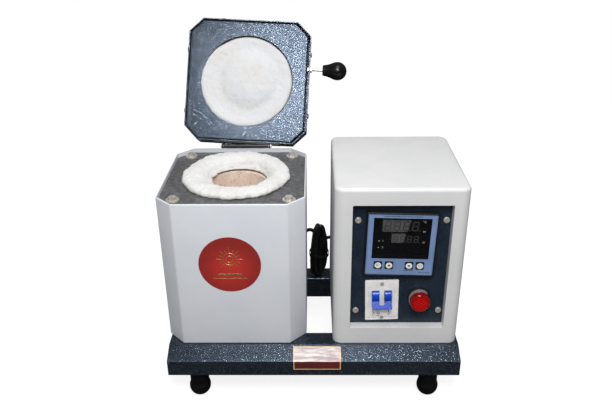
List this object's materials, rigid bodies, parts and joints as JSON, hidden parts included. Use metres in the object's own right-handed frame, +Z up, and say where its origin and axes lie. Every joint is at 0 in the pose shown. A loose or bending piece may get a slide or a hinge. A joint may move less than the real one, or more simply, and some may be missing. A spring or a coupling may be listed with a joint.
{
  "type": "electric melting furnace",
  "caption": "Small electric crucible furnace with a hinged insulated lid, bolted beside a control box with a digital controller on two rails with ball feet, its mains lead bundled behind.",
  "frame": {"origin": "on the floor under the middle of the object's box, measured without the mains lead, with the lid standing open", "axes": "+Z up, the front with the controller and the badge towards -Y, +X to the right seen from the front"},
  "size_m": [0.431, 0.3662, 0.4881],
  "materials": {
    "navy_hammer": "dark blue hammered enamel",
    "light_paint": "light blue-grey satin enamel",
    "box_paint": "off-white satin enamel",
    "hinge_enamel": "black enamel",
    "plate_paint": "heat-dulled grey enamel",
    "panel_paint": "dark blue hammered enamel",
    "zinc_steel": "zinc-plated",
    "zinc_sheet": "zinc-plated sheet",
    "chrome_rod": "bright",
    "ball_plastic": "satin black",
    "plate_foil": "satin foil with a gold border",
    "badge_foil": "glossy printed foil",
    "fibre_board": "matt ceramic fibre",
    "fibre_ring": "matt ceramic fibre",
    "fibre_pad": "matt ceramic fibre",
    "fireclay": "matt fired clay",
    "resistance_wire": "oxidised",
    "probe_sheath": "matt",
    "black_knob": "glossy black",
    "meter_plastic": "satin black",
    "film_plastic": "blue-grey printed film",
    "smoked_window": "smoked, glossy",
    "display_grey": "unlit segments",
    "key_rubber": "satin black",
    "breaker_plastic": "cream, moulded",
    "blue_plastic": "glossy blue",
    "lamp_grey": "satin grey",
    "red_lens": "ribbed red lens",
    "relay_plastic": "moulded",
    "black_plastic": "satin black",
    "cord_black": "satin black sheath",
    "plug_brass": "bright"
  },
  "bodies": {
    "base": {"front_rail": "navy_hammer", "rear_rail": "navy_hammer", "feet": "ball_plastic", "foot_nuts": "zinc_steel", "name_plate": "plate_foil", "housing_bolts": "zinc_steel", "furnace_casing": "light_paint", "furnace_bottom_plate": "zinc_sheet", "top_plate": "plate_paint", "tie_rods": "zinc_steel", "tie_rod_washers": "zinc_steel", "floor_board": "fibre_board", "hearth_brick": "fireclay", "muffle": "fireclay", "heating_coil": "resistance_wire", "insulation_blanket": "fibre_board", "thermocouple": "probe_sheath", "mouth_ring": "fibre_ring", "badge": "badge_foil", "hinge_body_bracket": "hinge_enamel", "hinge_body_screws": "zinc_steel", "control_case": "box_paint", "rear_panel": "box_paint", "rear_panel_screws": "zinc_steel", "front_panel": "panel_paint", "front_panel_screws": "zinc_steel", "controller_case": "meter_plastic", "controller_film": "film_plastic", "display_window": "smoked_window", "display_modules": "display_grey", "controller_clamps": "meter_plastic", "breaker_body": "breaker_plastic", "breaker_cover": "breaker_plastic", "breaker_screws": "zinc_steel", "lamp_body": "lamp_grey", "lamp_lens": "red_lens", "lamp_nut": "lamp_grey", "solid_state_relay": "relay_plastic", "cord_gland": "black_plastic", "cord_lead": "cord_black", "cord_hank": "cord_black", "cord_tail": "cord_black", "plug_body": "black_plastic", "plug_pins": "plug_brass"},
    "lid": {"lid_pan": "navy_hammer", "lid_face_plate": "navy_hammer", "lid_blanket": "fibre_board", "lid_pad": "fibre_pad", "lid_screws": "zinc_steel", "handle_rod": "chrome_rod", "handle_nuts": "zinc_steel", "handle_knob": "black_knob", "hinge_lid_bracket": "hinge_enamel", "hinge_lid_screws": "zinc_steel", "hinge_pin": "zinc_steel"},
    "key_set": {"key_set": "key_rubber"},
    "key_down": {"key_down": "key_rubber"},
    "key_up": {"key_up": "key_rubber"},
    "key_enter": {"key_enter": "key_rubber"},
    "breaker_lever": {"breaker_toggle": "blue_plastic"}
  },
  "joints": [
    {"name": "lid_hinge", "type": "hinge", "parent": "base", "child": "lid", "pos_m": [-0.1055, 0.0527, 0.3067], "axis": [1, 0, 0], "range_deg": [0, 117.6]},
    {"name": "key_set_press", "type": "slide", "parent": "base", "child": "key_set", "axis": [0, 1, 0], "range_m": [0, 0.0008], "stiffness_N_per_m": 400, "springref_m": -0.001},
    {"name": "key_down_press", "type": "slide", "parent": "base", "child": "key_down", "axis": [0, 1, 0], "range_m": [0, 0.0008], "stiffness_N_per_m": 400, "springref_m": -0.001},
    {"name": "key_up_press", "type": "slide", "parent": "base", "child": "key_up", "axis": [0, 1, 0], "range_m": [0, 0.0008], "stiffness_N_per_m": 400, "springref_m": -0.001},
    {"name": "key_enter_press", "type": "slide", "parent": "base", "child": "key_enter", "axis": [0, 1, 0], "range_m": [0, 0.0008], "stiffness_N_per_m": 400, "springref_m": -0.001},
    {"name": "breaker_throw", "type": "hinge", "parent": "base", "child": "breaker_lever", "pos_m": [0.09619, -0.141, 0.1563], "axis": [-0.9996, 0, -0.0297], "range_deg": [0, 100]}
  ]
}
